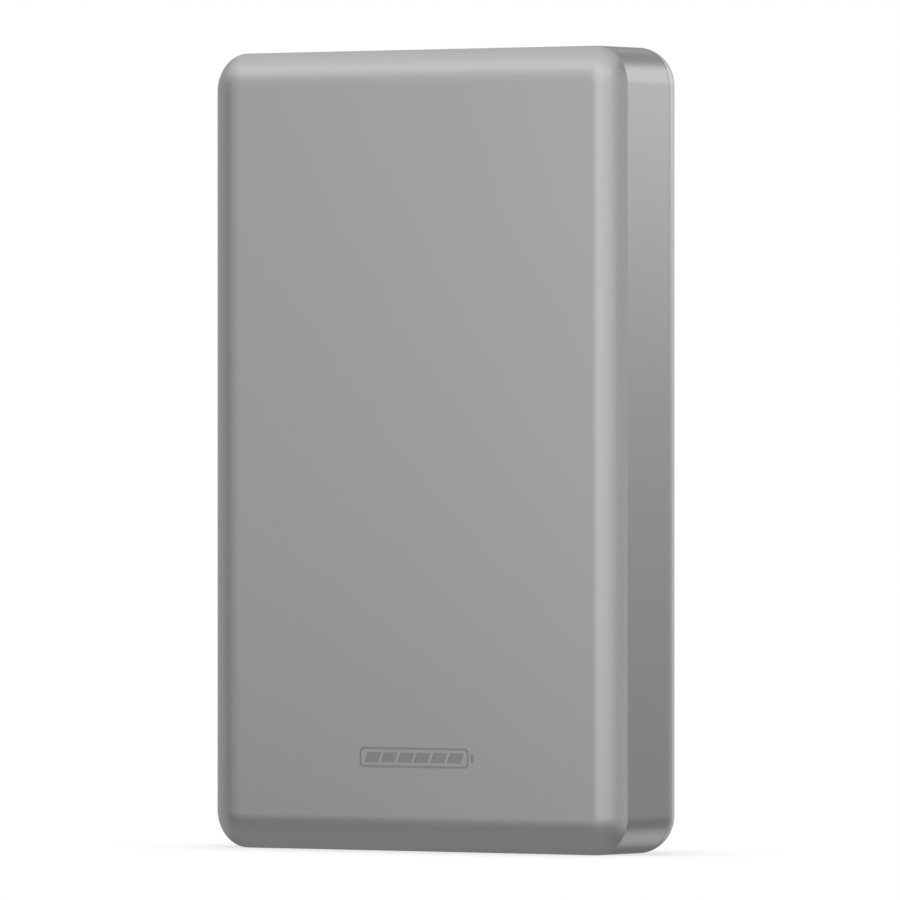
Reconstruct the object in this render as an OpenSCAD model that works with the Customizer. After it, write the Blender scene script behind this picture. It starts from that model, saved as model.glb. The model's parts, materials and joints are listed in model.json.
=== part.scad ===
// Slim magnetic power bank: a machined aluminium tray with a rounded front bevel, closed at the
// back by a rounded moulded cover that carries a soft charging panel, a coil and a magnet ring.
//
// Every piece is drawn with the bank lying on its back: X is the width, Y runs from the bottom
// end (y = 0) to the top end, and Z rises from the back face (z = 0) to the front face.
// upright() then stands the bank on its bottom end, with the front face towards -Y.

/* [Body] */
// Width across the front face
body_w = 66.2; // [66:0.1:70]
// Height from the bottom end to the top end
body_h = 106; // [105:0.5:112]
// Thickness from the front face to the back face
body_t = 14.8; // [14.8:0.1:15.6]
// Radius of the four corners seen from the front
corner_r = 5.05; // [4.9:0.05:6]
// Thickness of the tray's side walls
wall = 1.3; // [1.2:0.05:1.4]

/* [Front bevel] */
// How far the bevel runs in from the side walls
bevel_run = 4.65; // [4:0.05:4.7]
// How far the bevel drops from the front face to its crease with the side
bevel_drop = 1.42; // [1.2:0.02:1.6]

/* [Back edge] */
// How far the rounded back edge reaches in from the side walls
back_run = 3.15; // [2.5:0.05:3.3]
// How far the rounded back edge reaches forward, up to the parting line
back_drop = 3.65; // [3.4:0.05:3.8]
// Bare margin of the cover around the soft charging panel
panel_margin = 1.2; // [0.8:0.1:2]

/* [Power key] */
// Length of the power key along the side
key_l = 8.8; // [6:0.2:10]
// Width of the power key across the side
key_w = 2.4; // [2:0.1:3]
// Distance from the bottom end to the middle of the power key
key_y = 17; // [16:0.5:19]
// Travel of the power key from rest to the switch's stop
key_travel = 0.3; // [0.2:0.05:0.35]
// Number of charge indicator lights
light_count = 4; // [3:1:5]
// Distance between neighbouring indicator lights
light_pitch = 3; // [2.6:0.1:3]

/* [Charging side] */
// Outer diameter of the magnet ring
ring_d = 54.6; // [54:0.1:55]
// Number of magnets in the ring
magnet_count = 14; // [10:1:18]
// Outer diameter of the charging coil
coil_d = 43; // [40:0.5:44]
// Number of turns drawn on the coil
coil_turns = 10; // [6:1:12]

/* [Hidden] */
$fn = 64;
eps = 0.01;
rim_steps = 10;                     // facets across the bevel and across the back edge

// Levels through the thickness, from the back face forward
panel_t = 0.7;                      // soft panel, set flush in the cover's recess
floor_t = 0.9;                      // cover floor under the panel
floor_top = panel_t + floor_t;      // inner face of the cover floor
part_z = back_drop;                 // parting line between cover and tray
lip_top = part_z + 1.35;            // the cover's spigot ends here, inside the tray
coil_t = 0.8;
ferrite_t = 0.5;
magnet_t = 1.1;
yoke_t = 0.3;
sheet_z = 3.05;                     // insulating sheet between magnets and cells
sheet_t = 0.15;
cell_t = 4.7;
cell_gap = 0.2;                     // adhesive tape between the two cells
cell_rear_z = sheet_z + sheet_t + 0.15;
cell_front_z = cell_rear_z + cell_t + cell_gap;
cell_top_z = cell_front_z + cell_t;
bevel_z = body_t - bevel_drop;      // crease between bevel and side
front_t = 1.2;                      // thickness of the front wall
ceiling_z = body_t - front_t;       // inner face of the front wall
shoulder_z = ceiling_z - 1.2;       // the cavity narrows above this, under the bevel
port_z = (part_z + bevel_z) / 2;    // middle of the flat side wall

// Outline of the cells and the frame around them
side_x = body_w / 2;
inner_x = side_x - wall;            // inner face of the long walls
cell_x0 = -side_x + 6.2;
cell_x1 = side_x - 3.8;
cell_y0 = 22;
cell_y1 = body_h - 8.8;
cell_mid_x = (cell_x0 + cell_x1) / 2;
cell_w = cell_x1 - cell_x0;
cell_l = cell_y1 - cell_y0;
frame_t = 1.1;                      // chassis wall
frame_gap = 0.2;                    // clearance between cells and chassis
frame_x0 = cell_x0 - frame_gap - frame_t;
frame_x1 = cell_x1 + frame_gap + frame_t;
frame_y0 = 17.2;
frame_y1 = cell_y1 + frame_gap + frame_t;
frame_z0 = 3.3;
frame_z1 = shoulder_z - 0.1;

// Screws at the four corners, through cover and chassis into the tray
screw_x = side_x - 6.6;
screw_y = 5.4;
screw_r = 0.8;
screw_head_r = 1.4;
screw_len = 11.2;
post_r = 2;
post_top = 9.5;

// Main board and its USB-C receptacle
usb_w = 8.94;
usb_h = 3.16;
usb_l = 7.3;
usb_y0 = 0.3;
usb_wall = 0.3;
board_t = 1;
board_top = port_z - usb_h / 2;
board_w = 47.2;
board_y0 = 2.4;
board_y1 = 16.6;
board_screw_x = 20.5;
board_screw_y = 13.8;

// Key board and switch, stacked inwards from the left wall
key_board_t = 0.8;
tape_t = 0.2;
key_board_x1 = frame_x0 - tape_t;
key_board_x0 = key_board_x1 - key_board_t;
switch_h = 0.9;
switch_cover_t = 0.15;
switch_x0 = key_board_x0 - switch_h;
plunger_tip_x = switch_x0 - switch_cover_t - key_travel - 0.05;
light_y0 = key_y + 9;
led_h = 0.6;

// Charging side
ring_y = body_h / 2;
ring_w = 4.3;
ring_gap_angle = 34;
magnet_fill = 0.92;

// ---------- shared shapes ----------

// Stands the bank on its bottom end, front face towards -Y
module upright() {
    translate([0, body_t / 2, 0])
        rotate([90, 0, 0])
            children();
}

// Rectangle with round corners, centred
module rounded_rect(w, l, r) {
    square([w - 2 * r, l], center = true);
    square([w, l - 2 * r], center = true);
    for (sx = [-1, 1], sy = [-1, 1])
        translate([sx * (w / 2 - r), sy * (l / 2 - r)])
            circle(r);
}

// Slot with round ends, its length along Y
module slot_shape(w, l) {
    square([w, l - w], center = true);
    for (s = [-1, 1])
        translate([0, s * (l - w) / 2])
            circle(w / 2);
}

// Plate parallel to the front face, set in from the body's outline by inset
module inset_plate(inset, z0, z1, r = 0) {
    radius = r > 0 ? r : max(corner_r - inset, 0.6);
    translate([0, body_h / 2, z0])
        linear_extrude(z1 - z0)
            rounded_rect(body_w - 2 * inset, body_h - 2 * inset, radius);
}

// Block between two corners
module block(x0, x1, y0, y1, z0, z1) {
    translate([x0, y0, z0])
        cube([x1 - x0, y1 - y0, z1 - z0]);
}

// Slot through a long side wall: long along Y, thick along X
module side_slot(y, w, l, x0, x1) {
    translate([x0, y, port_z])
        rotate([0, 90, 0])
            linear_extrude(x1 - x0)
                slot_shape(w, l);
}

// Slot through the bottom end wall: long along X, thick along Y
module end_slot(w, h, y0, y1) {
    translate([0, y0, port_z])
        rotate([-90, 0, 0])
            linear_extrude(y1 - y0)
                rotate(90)
                    slot_shape(h, w);
}

// Copies its children to the four corner screws
module at_screws() {
    for (sx = [-1, 1], y = [screw_y, body_h - screw_y])
        translate([sx * screw_x, y, 0])
            children();
}

// Copies its children along the row of indicator lights
module at_lights() {
    for (i = [0 : light_count - 1])
        translate([0, light_y0 + i * light_pitch, port_z])
            children();
}

// Round wire through a list of points
module wire(points, r) {
    for (i = [0 : len(points) - 2]) {
        step = points[i + 1] - points[i];
        length = norm(step);
        translate(points[i])
            rotate([0, acos(step.z / length), atan2(step.y, step.x)])
                cylinder(r = r, h = length, $fn = 24);
    }
    for (i = [1 : len(points) - 2])
        translate(points[i])
            sphere(r, $fn = 24);
}

// ---------- outer form ----------

// Arc of the bevel: it leaves the front face without an edge and ends in a crease with the side
bevel_r = (pow(bevel_run, 2) + pow(bevel_drop, 2)) / (2 * bevel_drop);
bevel_angle = asin(bevel_run / bevel_r);

// Points of the bevel, from its crease with the side in to the front face.
// The first coordinate is measured outwards from the centre line of a corner.
bevel_points = [for (i = [rim_steps : -1 : 0])
    let (a = bevel_angle * i / rim_steps)
    [corner_r - bevel_run + bevel_r * sin(a), body_t - bevel_r * (1 - cos(a))]];

// Points of the quarter ellipse around the back edge, from the back face to the parting line
back_points = [for (i = [rim_steps : -1 : 0])
    let (a = 90 * i / rim_steps)
    [corner_r - back_run * (1 - cos(a)), back_drop * (1 - sin(a))]];

// Solid with the body's rounded outline, whose rim follows a profile all the way round
module swept_slab(profile) {
    levels = [for (p = profile) p.y];
    z0 = min(levels);
    z1 = max(levels);
    half = [body_w / 2 - corner_r, body_h / 2 - corner_r];
    section = concat([[0, z0]], profile, [[0, z1]]);
    translate([0, body_h / 2, 0]) {
        translate([-half.x, -half.y, z0])
            cube([2 * half.x, 2 * half.y, z1 - z0]);
        for (k = [0 : 3]) {
            reach = k % 2 == 0 ? half : [half.y, half.x];
            rotate(90 * k)
                translate([reach.x, reach.y, 0]) {
                    rotate([90, 0, 0])
                        linear_extrude(2 * reach.y)
                            polygon(section);
                    rotate_extrude(angle = 90)
                        polygon(section);
                }
        }
    }
}

// ---------- casing ----------

module front_shell() {
    color([0.62, 0.62, 0.63])
    difference() {
        union() {
            difference() {
                swept_slab(concat([[corner_r, part_z]], bevel_points));
                inset_plate(wall, part_z - 1, shoulder_z);
                inset_plate(2 * wall, shoulder_z - eps, ceiling_z);
            }
            at_screws()
                translate([0, 0, post_top + 0.1])
                    cylinder(r = post_r, h = ceiling_z + 0.4 - post_top);
        }
        at_screws()
            translate([0, 0, post_top])
                cylinder(r = 0.68, h = ceiling_z - 0.5 - post_top, $fn = 32);
        end_slot(11.2, 5.2, -1, wall + 1);
        side_slot(key_y, key_w + 0.2, key_l + 0.2, -side_x - 1, -inner_x + 1);
        at_lights()
            translate([-side_x - 1, 0, 0])
                rotate([0, 90, 0])
                    cylinder(r = 0.52, h = wall + 2, $fn = 32);
    }
}

module rear_cover() {
    color([0.62, 0.62, 0.63])
    difference() {
        union() {
            difference() {
                swept_slab(back_points);
                inset_plate(2, floor_top, part_z + 1);
            }
            difference() {
                inset_plate(wall + 0.1, part_z - 1, lip_top);
                inset_plate(wall + 0.9, part_z - 2, lip_top + 1);
            }
            at_screws()
                translate([0, 0, floor_top - 0.2])
                    cylinder(r = 2.5, h = 3.1 - floor_top + 0.2);
        }
        inset_plate(back_run + panel_margin, -1, panel_t, 4.5);
        at_screws() {
            translate([0, 0, panel_t - eps])
                cylinder(r = screw_head_r + 0.15, h = 0.9);
            cylinder(r = screw_r + 0.15, h = 5, $fn = 32);
        }
    }
}

module charging_panel() {
    inset = back_run + panel_margin + 0.08;
    color([0.22, 0.22, 0.23])
    difference() {
        inset_plate(inset, 0, panel_t - 0.12, 4.42);
        translate([0, ring_y, -1])
            difference() {
                cylinder(r = ring_d / 2 - 1, h = 1.25, $fn = 128);
                translate([0, 0, -1])
                    cylinder(r = ring_d / 2 - 2, h = 4, $fn = 128);
            }
    }
}

// Fine ring let into the soft panel, which shows where the magnets sit
module alignment_ring() {
    color([0.5, 0.5, 0.52])
    translate([0, ring_y, 0.02])
        difference() {
            cylinder(r = ring_d / 2 - 1.03, h = 0.21, $fn = 128);
            translate([0, 0, -1])
                cylinder(r = ring_d / 2 - 1.97, h = 4, $fn = 128);
        }
}

module panel_tape() {
    color([0.85, 0.82, 0.7])
    difference() {
        inset_plate(back_run + panel_margin + 0.6, panel_t - 0.12, panel_t, 3.9);
        inset_plate(back_run + panel_margin + 8, panel_t - 1, panel_t + 1, 6);
        at_screws()
            cylinder(r = screw_head_r + 0.4, h = 3);
    }
}

module cover_screws() {
    color("dimgray")
    at_screws()
        difference() {
            union() {
                translate([0, 0, panel_t + 0.05])
                    cylinder(r = screw_head_r, h = 0.8);
                cylinder_from(panel_t + 0.8, panel_t + screw_len, screw_r);
            }
            translate([0, 0, panel_t])
                cylinder(r = 0.65, h = 0.5, $fn = 6);
        }
}

// Cylinder between two levels
module cylinder_from(z0, z1, r) {
    translate([0, 0, z0])
        cylinder(r = r, h = z1 - z0, $fn = 32);
}

module usb_collar() {
    color([0.12, 0.12, 0.13])
    difference() {
        union() {
            end_slot(11.1, 5.1, 0.1, wall + 0.1);
            end_slot(12.6, 6.4, wall + 0.05, wall + 0.6);
        }
        end_slot(usb_w + 0.16, usb_h + 0.16, -1, wall + 2);
    }
}

module power_button() {
    flange_x = -inner_x + 0.1;
    color([0.6, 0.6, 0.61])
    union() {
        side_slot(key_y, key_w, key_l, -side_x + 0.1, flange_x + 0.1);
        side_slot(key_y, key_w + 1.6, key_l + 1.6, flange_x, flange_x + 0.6);
        translate([flange_x + 0.5, key_y, port_z])
            rotate([0, 90, 0])
                cylinder(r = 0.8, h = plunger_tip_x - 0.02 - flange_x - 0.5, $fn = 32);
    }
}

module light_guide() {
    rail_x = -inner_x + 0.1;
    rail_l = (light_count - 1) * light_pitch;
    color([0.95, 0.95, 0.92])
    union() {
        side_slot(light_y0 + rail_l / 2, 3, rail_l + 3, rail_x, rail_x + 0.6);
        at_lights() {
            translate([-side_x + 0.05, 0, 0])
                rotate([0, 90, 0])
                    cylinder(r = 0.48, h = wall + 0.2, $fn = 32);
            translate([rail_x + 0.5, 0, 0])
                rotate([0, 90, 0])
                    cylinder(r = 0.8, h = key_board_x0 - led_h - 0.05 - rail_x - 0.5, $fn = 32);
        }
    }
}

// ---------- inside ----------

// Moulded frame around the cells, with sleeves for the long corner screws
module chassis() {
    color([0.18, 0.2, 0.22])
    difference() {
        union() {
            difference() {
                block(frame_x0, frame_x1, frame_y0, frame_y1, frame_z0, frame_z1);
                block(cell_x0 - frame_gap, cell_x1 + frame_gap, frame_y0 + 1.2,
                    cell_y1 + frame_gap, frame_z0 - 1, frame_z1 + 1);
            }
            at_screws()
                cylinder_from(3.2, post_top, post_r);
            for (s = [-1, 1]) {
                block(s * screw_x - 0.5, s * screw_x + 0.5, screw_y, frame_y0 + 0.2,
                    frame_z0, board_top - 0.6);
                block(s * board_screw_x - 0.6, s * board_screw_x + 0.6, board_screw_y,
                    frame_y0 + 0.2, frame_z0, board_top - board_t);
                block(s * screw_x - 0.6, s * screw_x + 0.6, frame_y1 - 0.2,
                    body_h - screw_y, frame_z0, post_top);
                translate([s * board_screw_x, board_screw_y, 0])
                    cylinder_from(frame_z0, board_top - board_t, 1.8);
            }
        }
        // Way for the battery leads
        block(-7, 7, frame_y0 - 1, frame_y0 + 1.3, board_top - 0.6, frame_z1 + 1);
        at_screws()
            cylinder_from(0, body_t, screw_r + 0.15);
        for (s = [-1, 1])
            translate([s * board_screw_x, board_screw_y, 0])
                cylinder_from(frame_z0 + 0.8, body_t, 0.55);
    }
}

module front_pad() {
    color([0.3, 0.3, 0.3])
    translate([cell_mid_x, (cell_y0 + cell_y1) / 2, cell_top_z])
        linear_extrude(ceiling_z - cell_top_z - 0.05)
            rounded_rect(cell_w - 4, cell_l - 4, 2);
}

// One pouch cell: a soft-edged body and the thin sealed terrace at its bottom end
module pouch(z0) {
    union() {
        translate([cell_mid_x, cell_y1, z0 + cell_t / 2])
            rotate([90, 0, 0])
                linear_extrude(cell_l)
                    rounded_rect(cell_w, cell_t, 1.5);
        block(cell_x0 + 2, cell_x1 - 2, cell_y0 - 2.6, cell_y0 + 0.2, z0 + cell_t / 2 - 0.15,
            z0 + cell_t / 2 + 0.15);
    }
}

module cell_front() {
    color([0.72, 0.73, 0.75])
        pouch(cell_front_z);
}

module cell_rear() {
    color([0.72, 0.73, 0.75])
        pouch(cell_rear_z);
}

module cell_tape() {
    color([0.9, 0.88, 0.78])
    for (x = [cell_x0 + 6, cell_x1 - 18])
        block(x, x + 12, cell_y0 + 4, cell_y1 - 4, cell_front_z - cell_gap, cell_front_z);
}

// Two tabs from each cell's terrace to the protection board
module cell_tabs() {
    mid_z = cell_front_z - cell_gap / 2;
    color([0.8, 0.78, 0.7])
    for (x = [-12, 12], s = [-1, 1])
        block(x - 2, x + 2, cell_y0 - 2.3, cell_y0 - 1.2,
            s < 0 ? cell_rear_z + cell_t / 2 + 0.15 : mid_z + 0.4,
            s < 0 ? mid_z - 0.4 : cell_front_z + cell_t / 2 - 0.15);
}

module protection_board() {
    mid_z = cell_front_z - cell_gap / 2;
    color([0.05, 0.3, 0.16])
    union() {
        block(-19, 19, cell_y0 - 2.6, cell_y0 - 0.2, mid_z - 0.4, mid_z + 0.4);
        for (x = [-6, 6])
            block(x - 1.6, x + 1.6, cell_y0 - 2.2, cell_y0 - 0.7, mid_z + 0.3, mid_z + 1.2);
    }
}

module thermistor() {
    mid_z = cell_front_z - cell_gap / 2;
    color([0.1, 0.1, 0.1])
    union() {
        translate([17, cell_y0 - 1.4, mid_z + 1.45])
            sphere(0.65, $fn = 32);
        for (x = [16.7, 17.3])
            translate([x, cell_y0 - 1.4, mid_z + 0.4])
                cylinder(r = 0.15, h = 0.8, $fn = 16);
    }
}

// Battery lead from the protection board over the chassis wall to the main board
module battery_lead(x) {
    mid_z = cell_front_z - cell_gap / 2;
    wire([
        [x, cell_y0 - 1.5, mid_z + 0.4],
        [x, cell_y0 - 1.5, mid_z + 1],
        [x, frame_y0 - 2.4, mid_z + 1],
        [x, frame_y0 - 2.4, board_top]
    ], 0.5);
}

module lead_positive() {
    color([0.75, 0.08, 0.06])
        battery_lead(3);
}

module lead_negative() {
    color([0.05, 0.05, 0.05])
        battery_lead(-3);
}

module insulating_sheet() {
    color([0.1, 0.1, 0.1])
    translate([cell_mid_x, (frame_y0 + cell_y1) / 2, sheet_z])
        linear_extrude(sheet_t)
            rounded_rect(cell_w, cell_y1 - frame_y0 - 1, 1.5);
}

module main_board() {
    color([0.04, 0.28, 0.16])
    difference() {
        block(-board_w / 2, board_w / 2, board_y0, board_y1, board_top - board_t, board_top);
        for (s = [-1, 1])
            translate([s * board_screw_x, board_screw_y, 0])
                cylinder_from(0, body_t, 0.8);
    }
}

module board_screws() {
    color("silver")
    for (s = [-1, 1])
        translate([s * board_screw_x, board_screw_y, 0])
            union() {
                cylinder_from(board_top, board_top + 0.6, 1.2);
                cylinder_from(board_top - 2.8, board_top + 0.1, 0.65);
            }
}

// Stamped shell of the USB-C receptacle, open at the bottom end
module usb_shell() {
    color([0.75, 0.76, 0.78])
    difference() {
        end_slot(usb_w, usb_h, usb_y0, usb_y0 + usb_l);
        end_slot(usb_w - 2 * usb_wall, usb_h - 2 * usb_wall, -1, usb_y0 + usb_l - 0.3);
    }
}

// Insulator with the receptacle's tongue
module usb_core() {
    color([0.06, 0.06, 0.07])
    union() {
        end_slot(usb_w - 2 * usb_wall - 0.04, usb_h - 2 * usb_wall - 0.04, usb_y0 + 5.2,
            usb_y0 + usb_l - 0.32);
        block(-3.35, 3.35, usb_y0 + 0.9, usb_y0 + 5.3, port_z - 0.35, port_z + 0.35);
    }
}

// Twelve contacts on each face of the tongue
module usb_contacts() {
    color([0.85, 0.68, 0.3])
    for (i = [0 : 11], s = [-1, 1])
        block(-2.75 + i * 0.5 - 0.12, -2.75 + i * 0.5 + 0.12, usb_y0 + 1.3, usb_y0 + 5.2,
            port_z + s * 0.4 - 0.05, port_z + s * 0.4 + 0.05);
}

module power_inductors() {
    color([0.25, 0.25, 0.26])
    for (x = [-13, 11])
        translate([x, 11.6, board_top])
            linear_extrude(3)
                rounded_rect(6.2, 6.2, 1);
}

module board_chips() {
    color([0.08, 0.08, 0.09])
    union() {
        block(-4.5, 0.5, 10.2, 15.2, board_top - board_t - 0.8, board_top - board_t);
        block(8, 13, 8, 13, board_top - board_t - 0.8, board_top - board_t);
        block(-14, -10, 7.4, 11.4, board_top - board_t - 0.8, board_top - board_t);
        block(-8.2, -5.8, 3.6, 6.8, board_top, board_top + 0.8);
    }
}

module board_capacitors() {
    color([0.72, 0.6, 0.42])
    union() {
        for (i = [0 : 4])
            block(6 + i * 2.1, 7.3 + i * 2.1, 4, 6.4, board_top, board_top + 1.2);
        for (i = [0 : 3])
            block(-22 + i * 2.4, -20.4 + i * 2.4, 3.4, 6.6, board_top - board_t - 1.6,
                board_top - board_t);
        for (x = [-18.4, 15.6])
            block(x, x + 1.6, 8.8, 11.2, board_top, board_top + 0.9);
    }
}

module shield_can() {
    color([0.7, 0.71, 0.73])
    difference() {
        block(15, 23, 3, 11, board_top - board_t - 1.6, board_top - board_t);
        block(15.2, 22.8, 3.2, 10.8, board_top - board_t - 1.4, board_top - board_t + 1);
    }
}

// Small board along the left wall, which carries the switch and the lights
module key_board() {
    color([0.04, 0.28, 0.16])
        block(key_board_x0, key_board_x1, key_y - 7, light_y0 + light_count * light_pitch + 0.5,
            4.9, shoulder_z - 0.3);
}

module key_board_tape() {
    color([0.9, 0.88, 0.78])
        block(key_board_x1, frame_x0, frame_y0 + 0.4, light_y0 + light_count * light_pitch,
            5.4, shoulder_z - 0.8);
}

// Flat cable from the key board to the main board
module key_flex() {
    color([0.75, 0.45, 0.1])
    union() {
        block(key_board_x1, -board_w / 2 + 1.5, key_y - 6.5, key_y - 3.5, board_top,
            board_top + 0.15);
        block(key_board_x1, key_board_x1 + 0.15, key_y - 6.5, key_y - 3.5, board_top,
            board_top + 2);
    }
}

module switch_body() {
    color([0.1, 0.1, 0.11])
    difference() {
        block(switch_x0, key_board_x0, key_y - 2.6, key_y + 2.6, port_z - 1.75, port_z + 1.75);
        translate([switch_x0 - 1, key_y, port_z])
            rotate([0, 90, 0])
                cylinder(r = 1.4, h = 1 + switch_h - 0.15);
    }
}

module switch_cover() {
    color([0.76, 0.77, 0.79])
    difference() {
        block(switch_x0 - switch_cover_t, switch_x0, key_y - 2.6, key_y + 2.6, port_z - 1.75,
            port_z + 1.75);
        translate([switch_x0 - 1, key_y, port_z])
            rotate([0, 90, 0])
                cylinder(r = 0.85, h = 2, $fn = 32);
    }
}

// Snap dome at the bottom of the switch
module switch_dome() {
    color([0.8, 0.8, 0.82])
    translate([key_board_x0 - 0.15 - 0.08, key_y, port_z])
        rotate([0, 90, 0])
            cylinder(r = 1.3, h = 0.08, $fn = 48);
}

module switch_plunger() {
    disc_x = switch_x0 + 0.05;
    color([0.85, 0.82, 0.75])
    union() {
        translate([plunger_tip_x, key_y, port_z])
            rotate([0, 90, 0])
                cylinder(r = 0.75, h = disc_x + 0.1 - plunger_tip_x, $fn = 32);
        translate([disc_x, key_y, port_z])
            rotate([0, 90, 0])
                cylinder(r = 1.25, h = 0.25, $fn = 48);
    }
}

module indicator_leds() {
    color([0.95, 0.9, 0.7])
    at_lights()
        block(key_board_x0 - led_h, key_board_x0, -0.8, 0.8, -0.4, 0.4);
}

// ---------- charging side ----------

// Flat pancake coil; its rim is notched once for each turn of wire
module charging_coil() {
    turn_w = 1.1;
    r_out = coil_d / 2;
    r_in = r_out - coil_turns * turn_w;
    ridges = [for (i = [0 : coil_turns - 1], k = [0, 0.2, 0.8])
        [r_in + (i + k) * turn_w, floor_top + coil_t - (k == 0 ? 0.25 : 0)]];
    color([0.72, 0.38, 0.18])
    translate([0, ring_y, 0])
        rotate_extrude($fn = 96)
            polygon(concat([[r_in, floor_top]], ridges,
                [[r_out, floor_top + coil_t - 0.25], [r_out, floor_top]]));
}

// Both ends of the coil, led through the gap in the magnet ring to the main board
module coil_leads() {
    lead_r = 0.3;
    lead_z = floor_top + lead_r + 0.05;
    color([0.72, 0.38, 0.18])
    for (x = [4.6, 6.2])
        wire([
            [x, ring_y - sqrt(pow(coil_d / 2, 2) - x * x) - 0.15, lead_z],
            [x, 14, lead_z],
            [x, 14, board_top - board_t]
        ], lead_r);
}

module ferrite_sheet() {
    color([0.2, 0.2, 0.21])
    translate([0, ring_y, floor_top + coil_t])
        cylinder(r = coil_d / 2 + 0.4, h = ferrite_t, $fn = 96);
}

// One arc of the magnet ring: span in degrees, from the given start angle
module ring_arc(r_in, r_out, z0, z1, start, span) {
    translate([0, ring_y, 0])
        rotate(start)
            rotate_extrude(angle = span, $fn = 96)
                translate([r_in, z0])
                    square([r_out - r_in, z1 - z0]);
}

module magnet_ring() {
    pitch = (360 - ring_gap_angle) / magnet_count;
    first = -90 + ring_gap_angle / 2;
    color([0.6, 0.61, 0.63])
    for (i = [0 : magnet_count - 1])
        ring_arc(ring_d / 2 - ring_w, ring_d / 2, floor_top, floor_top + magnet_t,
            first + (i + (1 - magnet_fill) / 2) * pitch, pitch * magnet_fill);
}

module magnet_yoke() {
    color([0.5, 0.51, 0.53])
        ring_arc(ring_d / 2 - ring_w, ring_d / 2, floor_top + magnet_t,
            floor_top + magnet_t + yoke_t, -90 + ring_gap_angle / 2, 360 - ring_gap_angle);
}

module alignment_magnet() {
    color([0.6, 0.61, 0.63])
        block(-2.5, 2.5, 11, 23, floor_top, floor_top + magnet_t);
}

upright() front_shell();
upright() rear_cover();
upright() charging_panel();
upright() alignment_ring();
upright() panel_tape();
upright() cover_screws();
upright() usb_collar();
upright() power_button();
upright() light_guide();
upright() chassis();
upright() front_pad();
upright() cell_front();
upright() cell_rear();
upright() cell_tape();
upright() cell_tabs();
upright() protection_board();
upright() thermistor();
upright() lead_positive();
upright() lead_negative();
upright() insulating_sheet();
upright() main_board();
upright() board_screws();
upright() usb_shell();
upright() usb_core();
upright() usb_contacts();
upright() power_inductors();
upright() board_chips();
upright() board_capacitors();
upright() shield_can();
upright() key_board();
upright() key_board_tape();
upright() key_flex();
upright() switch_body();
upright() switch_cover();
upright() switch_dome();
upright() switch_plunger();
upright() indicator_leds();
upright() charging_coil();
upright() coil_leads();
upright() ferrite_sheet();
upright() magnet_ring();
upright() magnet_yoke();
upright() alignment_magnet();
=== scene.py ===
"""Slim magnetic power bank: smooth outer pieces, procedural materials, studio and camera.

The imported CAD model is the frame. The outer pieces are rebuilt here as smooth meshes of the same
size, with rounded edges; every other CAD piece keeps its shape and gets its own material.
"""

import json
import math

import bmesh
import bpy
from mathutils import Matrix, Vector


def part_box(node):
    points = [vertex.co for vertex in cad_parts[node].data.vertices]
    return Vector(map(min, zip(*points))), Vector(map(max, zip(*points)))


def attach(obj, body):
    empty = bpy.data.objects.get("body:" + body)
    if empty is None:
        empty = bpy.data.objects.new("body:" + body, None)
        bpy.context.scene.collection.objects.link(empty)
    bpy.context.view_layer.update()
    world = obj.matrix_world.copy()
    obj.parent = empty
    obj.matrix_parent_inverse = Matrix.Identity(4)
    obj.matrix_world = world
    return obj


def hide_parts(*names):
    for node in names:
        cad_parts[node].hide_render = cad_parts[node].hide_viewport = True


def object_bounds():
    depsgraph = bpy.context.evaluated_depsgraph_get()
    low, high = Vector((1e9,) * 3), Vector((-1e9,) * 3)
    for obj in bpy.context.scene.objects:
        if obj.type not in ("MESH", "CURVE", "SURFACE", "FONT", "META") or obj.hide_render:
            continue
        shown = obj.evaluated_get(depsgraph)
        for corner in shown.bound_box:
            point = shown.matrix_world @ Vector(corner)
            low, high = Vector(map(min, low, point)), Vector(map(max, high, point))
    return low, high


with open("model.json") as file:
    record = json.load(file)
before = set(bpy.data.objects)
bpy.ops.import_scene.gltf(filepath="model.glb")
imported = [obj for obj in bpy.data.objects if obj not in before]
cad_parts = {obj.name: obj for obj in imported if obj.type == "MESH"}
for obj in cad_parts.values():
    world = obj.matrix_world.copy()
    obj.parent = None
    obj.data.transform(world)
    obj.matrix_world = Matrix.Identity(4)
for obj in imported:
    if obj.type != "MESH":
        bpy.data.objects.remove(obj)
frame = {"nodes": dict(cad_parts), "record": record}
cad_low, cad_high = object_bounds()
MM = 0.001

# ---------- sizes, from the frame and from the design ----------

HALF_W = (cad_high.x - cad_low.x) / 2
HALF_H = (cad_high.z - cad_low.z) / 2
MID_Z = (cad_high.z + cad_low.z) / 2
FRONT_Y = cad_low.y
BACK_Y = cad_high.y
PART_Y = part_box("front_shell")[1].y          # parting line between tray and cover
CORNER_R = 5.05 * MM
WALL = 1.3 * MM
FRONT_WALL = 1.2 * MM
BEVEL_RUN = 4.65 * MM
BEVEL_DROP = 1.42 * MM
BEVEL_R = (BEVEL_RUN ** 2 + BEVEL_DROP ** 2) / (2 * BEVEL_DROP)
BEVEL_ANGLE = math.asin(BEVEL_RUN / BEVEL_R)
BACK_RUN = 3.15 * MM
PANEL_INSET = BACK_RUN + 1.2 * MM
PANEL_R = 4.5 * MM
RECESS = 0.7 * MM                            # depth of the cover's recess for the panel
EDGE_BREAK = 0.06 * MM                       # broken edges along the parting line
PORT_Y = (PART_Y + FRONT_Y + BEVEL_DROP) / 2  # middle of the flat side wall
KEY_LOW, KEY_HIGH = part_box("power_button")
KEY_Z = (KEY_LOW.z + KEY_HIGH.z) / 2
KEY_W = 2.4 * MM
KEY_L = 8.8 * MM
USB_W = 8.94 * MM
USB_H = 3.16 * MM
COLLAR_W = 11.1 * MM
COLLAR_H = 5.1 * MM
LIGHT_Z = KEY_Z + 9 * MM
LIGHT_PITCH = 3 * MM
LIGHT_COUNT = 4
PIP_D = 0.96 * MM                            # one light's round end
PIP_HOLE_D = PIP_D + 0.08 * MM
PIP_STEM_D = 1.6 * MM
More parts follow.
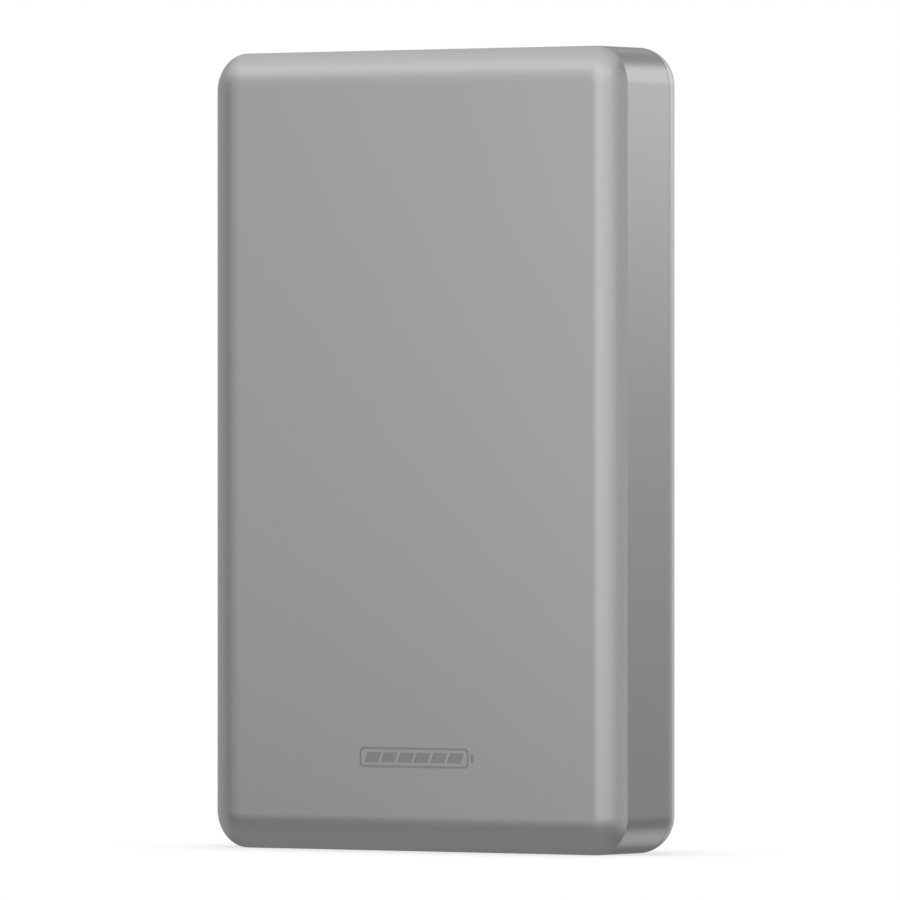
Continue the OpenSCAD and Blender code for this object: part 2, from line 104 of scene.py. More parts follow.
BEHIND_WALL = WALL + 0.1 * MM                # depth of what slides or sits behind the side wall
RING_LOW, RING_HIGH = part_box("alignment_ring")
RING_OUT = (RING_HIGH.x - RING_LOW.x) / 2
RING_IN = RING_OUT - 0.94 * MM
CORNER_STEPS = 24


# ---------- mesh tools ----------

def to_object(name, bm):
    """Turns a bmesh into a scene object with smooth faces."""
    bmesh.ops.recalc_face_normals(bm, faces=bm.faces)
    for face in bm.faces:
        face.smooth = True
    mesh = bpy.data.meshes.new(name)
    bm.to_mesh(mesh)
    bm.free()
    obj = bpy.data.objects.new(name, mesh)
    bpy.context.scene.collection.objects.link(obj)
    return obj


def skin(bm, loops, closed=False):
    """Faces between neighbouring loops of equal length; open ends are capped."""
    rings = [[bm.verts.new(p) for p in loop] for loop in loops]
    pairs = list(zip(rings, rings[1:]))
    if closed:
        pairs.append((rings[-1], rings[0]))
    for a, b in pairs:
        for i in range(len(a)):
            j = (i + 1) % len(a)
            bm.faces.new((a[i], a[j], b[j], b[i]))
    if not closed:
        bm.faces.new(rings[0])
        bm.faces.new(rings[-1])


def loft(name, *shells, closed=False):
    """Object made of one or more skinned shells."""
    bm = bmesh.new()
    for loops in shells:
        skin(bm, loops, closed)
    bmesh.ops.remove_doubles(bm, verts=bm.verts, dist=1e-7)
    return to_object(name, bm)


def apply_modifiers(obj):
    """Replaces the object's mesh by what its modifiers make of it."""
    graph = bpy.context.evaluated_depsgraph_get()
    mesh = bpy.data.meshes.new_from_object(obj.evaluated_get(graph))
    obj.modifiers.clear()
    obj.data = mesh


def cut(target, cutter):
    """Boolean difference. The cut faces take the cutter's material; the cutter is used up."""
    mod = target.modifiers.new("cut", "BOOLEAN")
    mod.operation = "DIFFERENCE"
    mod.solver = "EXACT"
    mod.material_mode = "TRANSFER"
    mod.object = cutter
    apply_modifiers(target)
    bpy.data.objects.remove(cutter)


def shade(obj, angle=28):
    """Sharp creases, and smooth normals that follow the large faces."""
    bm = bmesh.new()
    bm.from_mesh(obj.data)
    limit = math.radians(angle)
    for edge in bm.edges:
        edge.smooth = len(edge.link_faces) == 2 and edge.calc_face_angle() < limit
    for face in bm.faces:
        face.smooth = True
    bm.to_mesh(obj.data)
    bm.free()
    mod = obj.modifiers.new("normals", "WEIGHTED_NORMAL")
    mod.mode = "FACE_AREA"
    mod.keep_sharp = True
    mod.weight = 100
    apply_modifiers(obj)


def paint(obj, mat):
    """Gives an object one material."""
    obj.data.materials.clear()
    obj.data.materials.append(mat)


def install(obj, mat, slot, body, *nodes):
    """Shades a piece, and puts it on its body in place of its CAD nodes."""
    if not obj.data.materials:
        paint(obj, mat)
    shade(obj)
    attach(obj, body)
    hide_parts(*nodes)


# ---------- outlines and profiles ----------

def rounded_loop(half_w, half_h, radius, steps=CORNER_STEPS):
    """Points of a rectangle with round corners, anticlockwise from the right side."""
    points = []
    for k, (sx, sz) in enumerate(((1, 1), (-1, 1), (-1, -1), (1, -1))):
        for i in range(steps + 1):
            angle = math.pi / 2 * (k + i / steps)
            points.append((sx * (half_w - radius) + radius * math.cos(angle),
                           sz * (half_h - radius) + radius * math.sin(angle)))
    return points


def slot_loop(length, width, grow=0.0, steps=CORNER_STEPS):
    """Points of a slot with round ends, long along the first coordinate."""
    radius = width / 2
    reach = (length - width) / 2
    points = []
    for s in (1, -1):
        for i in range(steps + 1):
            angle = math.pi * (i / steps - 0.5)
            points.append((s * (reach + (radius + grow) * math.cos(angle)),
                           s * (radius + grow) * math.sin(angle)))
    return points


def body_loop(inset, radius, y):
    """One rounded outline of the body, parallel to the front face."""
    loop = rounded_loop(HALF_W - inset, HALF_H - inset, radius)
    return [Vector((x, y, MID_Z + z)) for x, z in loop]


def follow(inset, y):
    """Outline that follows the body's corners."""
    return body_loop(inset, CORNER_R - inset, y)


def left_loop(z_mid, length, width, depth, grow=0.0):
    """Slot outline on the left side: long along Z, at a depth from the side face."""
    return [Vector((-HALF_W + depth, PORT_Y + b, z_mid + a))
            for a, b in slot_loop(length, width, grow)]


def bottom_loop(length, width, depth, grow=0.0):
    """Slot outline on the bottom end: long along X, at a depth from the end face."""
    return [Vector((a, PORT_Y + b, cad_low.z + depth)) for a, b in slot_loop(length, width, grow)]


def back_circle(radius, y, steps=192):
    """Circle around the middle of the back face."""
    return [Vector((radius * math.cos(2 * math.pi * i / steps), y,
                    MID_Z + radius * math.sin(2 * math.pi * i / steps))) for i in range(steps)]


def quarter(steps=6):
    """Quarter circle of unit radius as two falls: 1 to 0 and 0 to 1."""
    angles = [math.pi / 2 * i / steps for i in range(steps + 1)]
    return [(1 - math.sin(a), 1 - math.cos(a)) for a in angles]


def mouth(lip, deep, face=0.0):
    """(depth, growth) levels of a hole whose edge is rounded by lip."""
    return [(face + lip * b, lip * a) for a, b in quarter()] + [(deep, 0)]


def plug(face, edge, deep):
    """(depth, growth) levels of a solid whose face edge is rounded, from the face inwards."""
    return [(face + edge * b, -edge * a) for a, b in quarter()] + [(deep, 0)]


# ---------- materials ----------

class Surface:
    """Principled material whose colour, roughness and relief come from layers of pattern."""

    def __init__(self, name, color, metallic=0.0, roughness=0.5, **sockets):
        self.mat = bpy.data.materials.new(name)
        self.mat.use_nodes = True
        self.tree = self.mat.node_tree
        self.shader = self.tree.nodes["Principled BSDF"]
        self.place = self.tree.nodes.new("ShaderNodeTexCoord").outputs["Object"]
        self.color = color
        self.tone = None
        self.rough = roughness
        self.shader.inputs["Base Color"].default_value = (*color, 1)
        self.shader.inputs["Metallic"].default_value = metallic
        self.shader.inputs["Roughness"].default_value = roughness
        for key, value in sockets.items():
            self.shader.inputs[key.replace("_", " ")].default_value = value

    def math(self, operation, *values):
        made = self.tree.nodes.new("ShaderNodeMath")
        made.operation = operation
        for socket, value in zip(made.inputs, values):
            if isinstance(value, bpy.types.NodeSocket):
                self.tree.links.new(value, socket)
            else:
                socket.default_value = value
        return made.outputs[0]

    def coordinates(self, stretch, centre):
        """Object coordinates about a centre, stretched along each axis."""
        shift = self.tree.nodes.new("ShaderNodeVectorMath")
        shift.operation = "SUBTRACT"
        self.tree.links.new(self.place, shift.inputs[0])
        shift.inputs[1].default_value = centre
        scale = self.tree.nodes.new("ShaderNodeVectorMath")
        scale.operation = "DIVIDE"
        self.tree.links.new(shift.outputs[0], scale.inputs[0])
        scale.inputs[1].default_value = stretch
        return scale.outputs[0]

    def wave(self, kind, axis, size, place):
        """Waves with the given spacing, as straight bands or as rings about an axis."""
        made = self.tree.nodes.new("ShaderNodeTexWave")
        made.wave_type = kind
        if kind == "RINGS":
            made.rings_direction = axis
        else:
            made.bands_direction = axis
        made.inputs["Scale"].default_value = math.pi / (10 * size)
        self.tree.links.new(place, made.inputs["Vector"])
        return made.outputs["Fac"]

    def pattern(self, kind, size, stretch, centre):
        """Pattern between 0 and 1 with features of the given size."""
        place = self.coordinates(stretch, centre)
        if kind == "rings":
            return self.wave("RINGS", "Y", size, place)
        if kind == "weave":
            return self.math("MULTIPLY", self.wave("BANDS", "X", size, place),
                             self.wave("BANDS", "Z", size, place))
        if kind == "cells":
            made = self.tree.nodes.new("ShaderNodeTexVoronoi")
        else:
            made = self.tree.nodes.new("ShaderNodeTexNoise")
            made.inputs["Detail"].default_value = 3
        made.inputs["Scale"].default_value = 1 / size
        self.tree.links.new(place, made.inputs["Vector"])
        return made.outputs["Distance" if kind == "cells" else "Fac"]

    def layer(self, kind, size, tone=0.0, rough=0.0, relief=0.0, stretch=(1, 1, 1),
              centre=(0, 0, 0)):
        """Adds a pattern that varies colour, roughness and height."""
        value = self.pattern(kind, size, stretch, centre)
        if tone:
            part = self.math("MULTIPLY_ADD", value, 2 * tone, 1 - tone)
            self.tone = part if self.tone is None else self.math("MULTIPLY", self.tone, part)
        if rough:
            part = self.math("MULTIPLY_ADD", value, 2 * rough, -rough)
            self.rough = self.math("ADD", part, self.rough)
        if relief:
            bump = self.tree.nodes.new("ShaderNodeBump")
            bump.inputs["Distance"].default_value = relief
            self.tree.links.new(value, bump.inputs["Height"])
            normal = self.shader.inputs["Normal"]
            if normal.is_linked:
                self.tree.links.new(normal.links[0].from_socket, bump.inputs["Normal"])
            self.tree.links.new(bump.outputs["Normal"], normal)
        return self

    def done(self):
        """Connects the varied colour and roughness."""
        if self.tone is not None:
            tint = self.tree.nodes.new("ShaderNodeVectorMath")
            tint.operation = "SCALE"
            tint.inputs[0].default_value = self.color
            self.tree.links.new(self.tone, tint.inputs["Scale"])
            self.tree.links.new(tint.outputs[0], self.shader.inputs["Base Color"])
        if isinstance(self.rough, bpy.types.NodeSocket):
            self.tree.links.new(self.rough, self.shader.inputs["Roughness"])
        return self.mat


def anodised(name, level, roughness, **sockets):
    """Bead-blasted and anodised aluminium: a tight matt grain, faint clouds in the finish."""
    surface = Surface(name, (level, level, level), 1.0, roughness, **sockets)
    surface.layer("noise", 0.07 * MM, tone=0.02, rough=0.02, relief=0.00012 * MM)
    surface.layer("noise", 14 * MM, tone=0.006, rough=0.008)
    return surface.done()


def moulded(name, color, roughness, texture=0.12 * MM, relief=0.004 * MM, **sockets):
    """Moulded plastic: spark-eroded texture, faint flow clouds."""
    surface = Surface(name, color, 0.0, roughness, **sockets)
    surface.layer("noise", texture, tone=0.05, rough=0.05, relief=relief)
    surface.layer("noise", 9 * MM, tone=0.06, rough=0.03)
    return surface.done()


def stamped(name, color, roughness, along=(1, 1, 14)):
    """Rolled and plated sheet metal: drawn lines and small stains."""
    surface = Surface(name, color, 1.0, roughness)
    surface.layer("noise", 0.05 * MM, tone=0.06, rough=0.07, relief=0.0006 * MM, stretch=along)
    surface.layer("noise", 3 * MM, tone=0.05, rough=0.05)
    return surface.done()


def circuit_board(name, color):
    """Solder mask over a glass weave, with copper areas that show through."""
    surface = Surface(name, color, 0.0, 0.3, Coat_Weight=0.35, Coat_Roughness=0.12)
    surface.layer("weave", 0.5 * MM, tone=0.05, relief=0.004 * MM)
    surface.layer("cells", 2.4 * MM, tone=0.14)
    surface.layer("noise", 0.3 * MM, tone=0.05, rough=0.05)
    return surface.done()


def coil_wire(name, color):
    """Enamelled wire wound around the middle of the back."""
    surface = Surface(name, color, 1.0, 0.28, Coat_Weight=0.5, Coat_Roughness=0.1)
    surface.layer("rings", 0.22 * MM, tone=0.16, relief=0.02 * MM, centre=(0, 0, MID_Z))
    surface.layer("noise", 1.5 * MM, tone=0.08, rough=0.06)
    return surface.done()


def layered(name, color, metallic, roughness, layers, **sockets):
    """Material from (pattern, size, tone, roughness, relief) rows, in millimetres."""
    surface = Surface(name, color, metallic, roughness, **sockets)
    for kind, size, tone, rough, relief in layers:
        surface.layer(kind, size * MM, tone, rough, relief * MM)
    return surface.done()


GREY = 0.61
shell_metal = anodised("shell_aluminium", GREY, 0.34)
cover_metal = anodised("cover_satin_grey", GREY, 0.34)
key_metal = anodised("key_aluminium", GREY, 0.30)
etched = layered("etched_mark", (0.445, 0.445, 0.445), 1.0, 0.42,
                 [("noise", 0.06, 0.08, 0.05, 0.0004), ("noise", 1.2, 0.02, 0.02, 0)])
silicone = layered("soft_panel_silicone", (0.075, 0.075, 0.078), 0.0, 0.62,
                   [("cells", 0.18, 0.06, 0.04, 0.014), ("noise", 0.05, 0.05, 0.04, 0.003),
                    ("noise", 11, 0.05, 0.05, 0)],
                   Sheen_Weight=0.12, Sheen_Roughness=0.5)
ring_grey = layered("ring_inlay", (0.2, 0.2, 0.205), 0.0, 0.45,
                    [("noise", 0.08, 0.05, 0.05, 0.002), ("noise", 6, 0.04, 0.04, 0)])
frosted = layered("light_guide_frosted", (0.88, 0.89, 0.88), 0.0, 0.34,
                  [("noise", 0.04, 0.03, 0.06, 0.001), ("noise", 0.6, 0.03, 0.03, 0)],
                  Subsurface_Weight=0.4, Subsurface_Scale=0.0008, Subsurface_Radius=(1, 1, 1))
collar_black = moulded("collar_black_plastic", (0.028, 0.028, 0.03), 0.42)
port_steel = stamped("port_nickel_steel", (0.62, 0.61, 0.58), 0.24)

CAD_MATERIALS = {
    "black_plastic": moulded("black_plastic", (0.03, 0.03, 0.032), 0.45),
    "frame_plastic": moulded("glass_filled_plastic", (0.05, 0.053, 0.056), 0.55, 0.3 * MM),
    "ivory_plastic": moulded("ivory_plastic", (0.72, 0.7, 0.6), 0.4),
    "chip_black": moulded("chip_package", (0.022, 0.022, 0.024), 0.6, 0.06 * MM),
    "screw_steel": stamped("zinc_screw_steel", (0.34, 0.34, 0.35), 0.3, (1, 8, 1)),
    "stamped_steel": stamped("nickel_plated_steel", (0.66, 0.65, 0.62), 0.25),
    "nickel": stamped("nickel_strip", (0.64, 0.62, 0.56), 0.22),
    "magnet_nickel": stamped("nickel_plated_magnet", (0.66, 0.66, 0.66), 0.14, (1, 1, 1)),
    "contact_gold": stamped("gold_flash", (0.86, 0.62, 0.24), 0.22),
    "board_green": circuit_board("solder_mask_green", (0.012, 0.11, 0.045)),
    "copper": coil_wire("enamelled_copper", (0.72, 0.33, 0.16)),
    "adhesive": layered("tape", (0.62, 0.56, 0.38), 0.0, 0.35,
                        [("noise", 0.5, 0.08, 0.08, 0.01), ("weave", 0.4, 0.05, 0, 0.004)]),
    "foam": layered("closed_cell_foam", (0.05, 0.05, 0.052), 0.0, 0.92,
                    [("cells", 0.35, 0.3, 0.04, 0.08), ("noise", 4, 0.1, 0.03, 0)]),
    "pouch_foil": layered("pouch_foil", (0.7, 0.71, 0.72), 1.0, 0.32,
                          [("noise", 5, 0.05, 0.07, 0.12), ("cells", 1.4, 0.03, 0.04, 0.02)]),
    "black_sheet": layered("insulating_film", (0.03, 0.03, 0.032), 0.0, 0.4,
                           [("noise", 0.1, 0.06, 0.06, 0.002), ("noise", 7, 0.06, 0.08, 0.02)]),
    "red_insulation": layered("red_wire", (0.42, 0.025, 0.018), 0.0, 0.45,
                              [("noise", 0.2, 0.06, 0.06, 0.004)]),
    "black_insulation": layered("black_wire", (0.02, 0.02, 0.022), 0.0, 0.45,
                                [("noise", 0.2, 0.06, 0.06, 0.004)]),
    "ferrite_grey": layered("sintered_ferrite", (0.085, 0.085, 0.09), 0.1, 0.7,
                            [("cells", 0.12, 0.2, 0.06, 0.008), ("noise", 2, 0.1, 0.05, 0)]),
    "capacitor_tan": layered("fired_ceramic", (0.4, 0.28, 0.16), 0.0, 0.42,
                             [("noise", 0.08, 0.12, 0.06, 0.002)]),
    "flex_amber": layered("polyimide", (0.42, 0.17, 0.025), 0.0, 0.26,
                          [("weave", 0.8, 0.14, 0, 0.004), ("noise", 1.5, 0.05, 0.06, 0)],
                          Coat_Weight=0.3),
    "led_white": layered("led_resin", (0.85, 0.78, 0.45), 0.0, 0.25,
                         [("noise", 0.3, 0.08, 0.05, 0.002)],
                         Subsurface_Weight=0.3, Subsurface_Scale=0.0006),
}


# ---------- front shell ----------

def charge_mark():
    """Cutter for the etched charge gauge: a long battery outline with slanted bars in it."""
    length, height, line = 17.6 * MM, 2.7 * MM, 0.3 * MM
    bars, gap, slant = 6, 0.5 * MM, 0.55 * MM
    z_mid = cad_low.z + 12.4 * MM
    depth = 0.04 * MM

    def prism(outline):
        return [[Vector((x, y, z_mid + z)) for x, z in outline]
                for y in (FRONT_Y - MM, FRONT_Y + depth)]

    def frame_loop(inset):
        return rounded_loop(length / 2 - inset, height / 2 - inset, 0.75 * MM - inset, 8)

    bm = bmesh.new()
    outer, inner = prism(frame_loop(0)), prism(frame_loop(line))
    skin(bm, [outer[0], outer[1], inner[1], inner[0]], closed=True)
    tip_x, tip_w, tip_h = length / 2 + 0.35 * MM, 0.45 * MM, 0.55 * MM
    skin(bm, prism([(tip_x, -tip_h), (tip_x + tip_w, -tip_h), (tip_x + tip_w, tip_h),
                    (tip_x, tip_h)]))
    pitch = (length - 2 * (line + gap) - slant + gap) / bars
    rise = height / 2 - line - 0.38 * MM
    for i in range(bars):
        x = -length / 2 + line + gap + i * pitch
        end = x + pitch - gap
        skin(bm, prism([(x, -rise), (end, -rise), (end + slant, rise), (x + slant, rise)]))
    mark = to_object("mark_cutter", bm)
    paint(mark, etched)
    return mark


def hole(place, lip, deep):
    """Cutter for a hole with a rounded mouth; place(depth, grow) gives its outline."""
    cutter = loft("hole_cutter", [place(d, g) for d, g in [(-MM, lip)] + mouth(lip, deep)])
    paint(cutter, shell_metal)
    return cutter


def front_shell():
    """Metal tray: front face, rounded bevel, side walls, and the hollow behind them."""
    steps = 24
    loops = []
    for i in range(steps + 1):
        a = BEVEL_ANGLE * i / steps
        loops.append(follow(BEVEL_RUN - BEVEL_R * math.sin(a),
                            FRONT_Y + BEVEL_R * (1 - math.cos(a))))
    shoulder = FRONT_Y + FRONT_WALL + 1.2 * MM   # the walls are twice as thick in front of it
    loops += [follow(0, PART_Y - EDGE_BREAK), follow(EDGE_BREAK, PART_Y), follow(WALL, PART_Y),
              follow(WALL, shoulder), follow(2 * WALL, shoulder),
              follow(2 * WALL, FRONT_Y + FRONT_WALL)]
    shell = loft("shell", loops)
    paint(shell, shell_metal)
    cut(shell, charge_mark())
    deep = WALL + 0.7 * MM
    lip = 0.14 * MM
    clear = 0.1 * MM
    cut(shell, hole(lambda d, g: bottom_loop(COLLAR_W + clear, COLLAR_H + clear, d, g), lip, deep))
    cut(shell, hole(lambda d, g: left_loop(KEY_Z, KEY_L + 2 * clear, KEY_W + 2 * clear, d, g),
                    lip, deep))
    for i in range(LIGHT_COUNT):
        z = LIGHT_Z + i * LIGHT_PITCH
        cut(shell, hole(lambda d, g: left_loop(z, PIP_HOLE_D, PIP_HOLE_D, d, g), 0.06 * MM, deep))
    return shell


install(front_shell(), shell_metal, "shell_aluminium", "case", "front_shell")


# ---------- rear cover, soft panel and ring ----------

def rear_cover():
    """Rounded back cover: a recess for the panel outside, a spigot into the tray inside."""
    steps = 20
    recess_y = BACK_Y - RECESS
    floor_y = recess_y - 0.9 * MM
    lip_y = PART_Y - 1.35 * MM
    spigot = 0.8 * MM                        # thickness of the wall that enters the tray
    soft = 0.12 * MM                         # rounding of the recess's edge
    drop = BACK_Y - PART_Y
    loops = [body_loop(PANEL_INSET, PANEL_R, recess_y)]
    for a, b in quarter():
        loops.append(body_loop(PANEL_INSET - soft * b, PANEL_R + soft * b, BACK_Y - soft * a))
    for i in range(steps):
        a = math.pi / 2 * i / steps
        loops.append(follow(BACK_RUN * (1 - math.sin(a)), BACK_Y - drop * (1 - math.cos(a))))
    loops += [follow(0, PART_Y + EDGE_BREAK), follow(EDGE_BREAK, PART_Y),
              follow(BEHIND_WALL, PART_Y), follow(BEHIND_WALL, lip_y),
              follow(BEHIND_WALL + spigot, lip_y), follow(BEHIND_WALL + spigot, floor_y)]
    return loft("cover", loops)


def charging_panel():
    """Soft panel with a rolled edge and a groove for the ring."""
    edge = 0.3 * MM
    inset, radius = PANEL_INSET + 0.08 * MM, PANEL_R - 0.08 * MM
    loops = [body_loop(inset, radius, BACK_Y - 0.58 * MM)]
    for a, b in quarter():
        loops.append(body_loop(inset + edge * b, radius - edge * b, BACK_Y - edge * a))
    panel = loft("panel", loops)
    paint(panel, silicone)
    lip = 0.05 * MM
    r_in, r_out = RING_IN - 0.03 * MM, RING_OUT + 0.03 * MM
    levels = [(BACK_Y - 0.25 * MM, 0), (BACK_Y - lip, 0), (BACK_Y, lip), (BACK_Y + MM, lip)]
    loops = [back_circle(r_out + g, y) for y, g in levels]
    loops += [back_circle(r_in - g, y) for y, g in reversed(levels)]
    groove = loft("groove_cutter", loops, closed=True)
    paint(groove, silicone)
    cut(panel, groove)
    return panel


def alignment_ring():
    """Fine ring let into the panel, with broken edges."""
    edge = 0.06 * MM
    low, high = RING_LOW.y, RING_HIGH.y
    profile = [(RING_IN, low), (RING_IN, high - edge), (RING_IN + edge, high),
               (RING_OUT - edge, high), (RING_OUT, high - edge), (RING_OUT, low)]
    return loft("ring", [back_circle(r, y) for r, y in profile], closed=True)


install(rear_cover(), cover_metal, "cover_grey", "case", "rear_cover")
install(charging_panel(), silicone, "soft_panel", "case", "charging_panel")
install(alignment_ring(), ring_grey, "ring_grey", "case", "alignment_ring")


# ---------- power key and charge lights ----------

def power_key():
    """Key with a crowned face, its flange behind the wall and the rod to the switch."""
    face = KEY_LOW.x + HALF_W
    flange = BEHIND_WALL
    flange_t, flange_grow = 0.6 * MM, 0.8 * MM
    crown = 0.07 * MM
    edge = 0.22 * MM
    core = KEY_W / 2 - edge - 0.02 * MM
    steps = 6
    levels = [(face + crown * (i / steps) ** 2, -edge - core * (1 - i / steps))
              for i in range(steps)]
    levels += plug(face + crown, edge, flange)
    levels += [(flange, flange_grow), (flange + flange_t, flange_grow)]
    body = [left_loop(KEY_Z, KEY_L, KEY_W, d, g) for d, g in levels]
    rod_end = KEY_HIGH.x + HALF_W
    rod_d = 1.6 * MM
    rod = [left_loop(KEY_Z, rod_d, rod_d, d) for d in (flange + 0.5 * MM, rod_end)]
    return loft("key", body, rod)


def light_guide():
    """Milky rail behind the wall with one rounded pip for each light."""
    face = 0.05 * MM
    rail = BEHIND_WALL
    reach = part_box("light_guide")[1].x + HALF_W
    span = (LIGHT_COUNT - 1) * LIGHT_PITCH
    shells = [[left_loop(LIGHT_Z + span / 2, span + 3 * MM, 3 * MM, d)
               for d in (rail, rail + 0.6 * MM)]]
    for i in range(LIGHT_COUNT):
        z = LIGHT_Z + i * LIGHT_PITCH
        levels = plug(face, 0.2 * MM, rail + 0.1 * MM)
        shells.append([left_loop(z, PIP_D, PIP_D, d, g) for d, g in levels])
        shells.append([left_loop(z, PIP_STEM_D, PIP_STEM_D, d)
                       for d in (rail + 0.5 * MM, reach)])
    return loft("lights", *shells)


install(power_key(), key_metal, "key_aluminium", "button", "power_button")
install(light_guide(), frosted, "diffuser", "case", "light_guide")


# ---------- port ----------

def port_collar():
    """Dark collar around the receptacle, with a funnelled mouth and a flange behind the wall."""
    face, lip, edge = 0.1 * MM, 0.3 * MM, 0.15 * MM
    shoulder, back = WALL + 0.05 * MM, WALL + 0.6 * MM
    clear = 0.16 * MM
    outside = plug(face, edge, shoulder) + [(shoulder, 0.7 * MM), (back, 0.7 * MM)]
    loops = [bottom_loop(COLLAR_W, COLLAR_H, d, g) for d, g in reversed(outside)]
    loops += [bottom_loop(USB_W + clear, USB_H + clear, d, g) for d, g in mouth(lip, back, face)]
    return loft("collar", loops, closed=True)


def port_shell():
    """Drawn steel shell of the receptacle with a rolled front edge."""
    low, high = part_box("usb_shell")
    face, back = low.z - cad_low.z, high.z - cad_low.z
    wall, edge = 0.3 * MM, 0.1 * MM
    outside = list(reversed(plug(face, edge, back)))
    inside = [(d, g - wall) for d, g in mouth(edge, back - wall, face)]
    return loft("receptacle", [bottom_loop(USB_W, USB_H, d, g) for d, g in outside + inside])


install(port_collar(), collar_black, "black_plastic", "case", "usb_collar")
install(port_shell(), port_steel, "stamped_steel", "case", "usb_shell")

# ---------- the other CAD pieces ----------

for part in frame["record"]["subparts"]:
    mat = CAD_MATERIALS.get(part["material_slot"])
    if mat:
        paint(frame["nodes"][part["node"]], mat)

# ---------- camera ----------

VIEW_AZIMUTH = 35.03                          # degrees round to the right of the front face
FOCAL_IN_WIDTHS = 13.762                      # focal length in picture widths
CAMERA_DISTANCE = 15.437 * 2 * HALF_H         # from the middle of the front face
LEFT_SHARE = 0.0399                           # front's middle left of centre, in picture widths
CAMERA_RISE = 0.065 * MM                      # camera above the bank's middle

view = math.radians(VIEW_AZIMUTH)
cam_data = bpy.data.cameras.new("camera")
cam_data.sensor_width = 36
cam_data.lens = cam_data.sensor_width * FOCAL_IN_WIDTHS
cam_data.clip_start = 0.01
cam_data.clip_end = 100
camera = bpy.data.objects.new("camera", cam_data)
bpy.context.scene.collection.objects.link(camera)
bpy.context.scene.camera = camera
camera.location = (Vector((0, FRONT_Y, MID_Z + CAMERA_RISE))
                   + CAMERA_DISTANCE * Vector((math.sin(view), -math.cos(view), 0)))
camera.rotation_euler = (math.pi / 2, 0, view - math.atan(LEFT_SHARE / FOCAL_IN_WIDTHS))


# ---------- stage ----------

STAGE_R = 4.0                                 # metres; the cameras stand inside
SHADOW_REACH = 0.02                           # metres of floor that the contact shadow covers
SHADOW_TONE = 0.78                            # the floor's brightness right under the bank


def stage_piece(name, bm, mat):
    """Floor or backdrop: seen by the camera only, so it adds no light of its own."""
    obj = to_object(name, bm)
    paint(obj, mat)
    obj.visible_diffuse = False
    obj.visible_glossy = False
    obj.visible_transmission = False
    obj.visible_shadow = False


def backdrop_material():
    """Plain white paper, evenly lit."""
    mat = bpy.data.materials.new("backdrop_white")
    mat.use_nodes = True
    nodes, links = mat.node_tree.nodes, mat.node_tree.links
    nodes.clear()
    out = nodes.new("ShaderNodeOutputMaterial")
    glow = nodes.new("ShaderNodeEmission")
    links.new(glow.outputs[0], out.inputs["Surface"])
    return mat


def floor_material():
    """The same white with a soft contact shadow; it can't be seen from below."""
    mat = backdrop_material()
    mat.name = "floor_white"
    nodes, links = mat.node_tree.nodes, mat.node_tree.links
    out = nodes["Material Output"]
    glow = nodes["Emission"]
    shadow = nodes.new("ShaderNodeAmbientOcclusion")
    shadow.inputs["Distance"].default_value = SHADOW_REACH
    shadow.samples = 8
    tone = nodes.new("ShaderNodeMapRange")
    tone.inputs["From Min"].default_value = 0.5
    tone.inputs["From Max"].default_value = 0.92
    tone.inputs["To Min"].default_value = SHADOW_TONE
    tone.inputs["To Max"].default_value = 1.0
    links.new(shadow.outputs["AO"], tone.inputs["Value"])
    links.new(tone.outputs[0], glow.inputs["Strength"])
    side = nodes.new("ShaderNodeNewGeometry")
    clear = nodes.new("ShaderNodeBsdfTransparent")
    mix = nodes.new("ShaderNodeMixShader")
    links.new(side.outputs["Backfacing"], mix.inputs[0])
    links.new(glow.outputs[0], mix.inputs[1])
    links.new(clear.outputs[0], mix.inputs[2])
    links.new(mix.outputs[0], out.inputs["Surface"])
    return mat


dome = bmesh.new()
bmesh.ops.create_icosphere(dome, subdivisions=4, radius=STAGE_R)
stage_piece("backdrop", dome, backdrop_material())
disc = bmesh.new()
bmesh.ops.create_circle(disc, cap_ends=True, segments=96, radius=STAGE_R * 0.98)
stage_piece("floor", disc, floor_material())

# ---------- lights ----------

LIGHT_DISTANCE = 0.5                          # metres from the bank's middle
FRONT_MIRROR = -VIEW_AZIMUTH                  # azimuth that the front mirrors to the camera
SIDE_MIRROR = 180 - VIEW_AZIMUTH              # azimuth that the right side mirrors to the camera

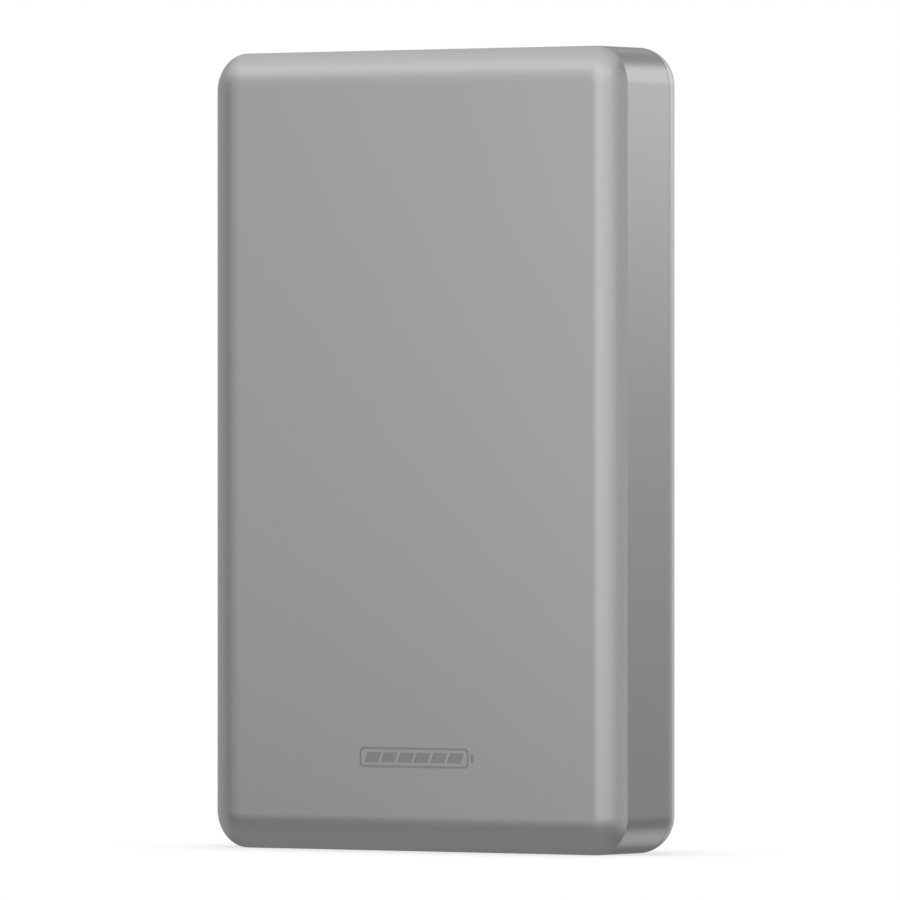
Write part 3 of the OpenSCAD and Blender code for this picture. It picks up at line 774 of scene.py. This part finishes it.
# Each softbox: azimuth round to the right of the front, elevation, width and height as seen from
# the bank, all in degrees, and brightness. The comments name what it lights in the main view.
SOFTBOXES = {
    "front_glow": (FRONT_MIRROR, 14, 45, 45, 0.3),          # front face
    "front_top": (FRONT_MIRROR, 45, 80, 40, 0.6),           # top bevel
    "front_ground": (FRONT_MIRROR, -45, 60, 40, 0.1),       # bottom bevel
    "bevel_glow": (-5, 7, 40, 40, 0.65),                    # right bevel
    "left_glow": (-100, 0, 60, 60, 0.2),                    # left bevel
    "side_top": (SIDE_MIRROR - 10, 20, 70, 30, 0.75),       # right side, from bright above
    "side_low": (SIDE_MIRROR, 0, 60, 20, 0.12),             # to darker below
    "side_ground": (SIDE_MIRROR + 20, -35, 30, 20, 0.4),    # bottom right corner
    "rim_glow": (180, 8, 40, 60, 0.5),                      # rear rim and top right corner
    "camera_fill": (50, 0, 60, 60, 0.35),                   # both front and right side, softly
    "back_left": (-130, 10, 60, 60, 0.25),                  # left side and back, in other views
}


def softbox(name, azimuth, elevation, wide, high, brightness):
    """Rectangular lamp that faces the bank; its power follows from its size and brightness."""
    data = bpy.data.lights.new(name, "AREA")
    data.shape = "RECTANGLE"
    data.size = 2 * LIGHT_DISTANCE * math.tan(math.radians(wide / 2))
    data.size_y = 2 * LIGHT_DISTANCE * math.tan(math.radians(high / 2))
    data.energy = brightness * math.pi * data.size * data.size_y
    lamp = bpy.data.objects.new(name, data)
    bpy.context.scene.collection.objects.link(lamp)
    a, e = math.radians(azimuth), math.radians(elevation)
    outwards = Vector((math.sin(a) * math.cos(e), -math.cos(a) * math.cos(e), math.sin(e)))
    lamp.location = Vector((0, 0, MID_Z)) + outwards * LIGHT_DISTANCE
    lamp.rotation_euler = (math.pi / 2 - e, 0, a)
    lamp.visible_camera = False


for name, settings in SOFTBOXES.items():
    softbox(name, *settings)

AMBIENT = 0.2
world = bpy.data.worlds.new("studio")
world.use_nodes = True
world.node_tree.nodes["Background"].inputs["Color"].default_value = (1, 1, 1, 1)
world.node_tree.nodes["Background"].inputs["Strength"].default_value = AMBIENT
bpy.context.scene.world = world
bpy.context.scene.view_settings.view_transform = "Standard"
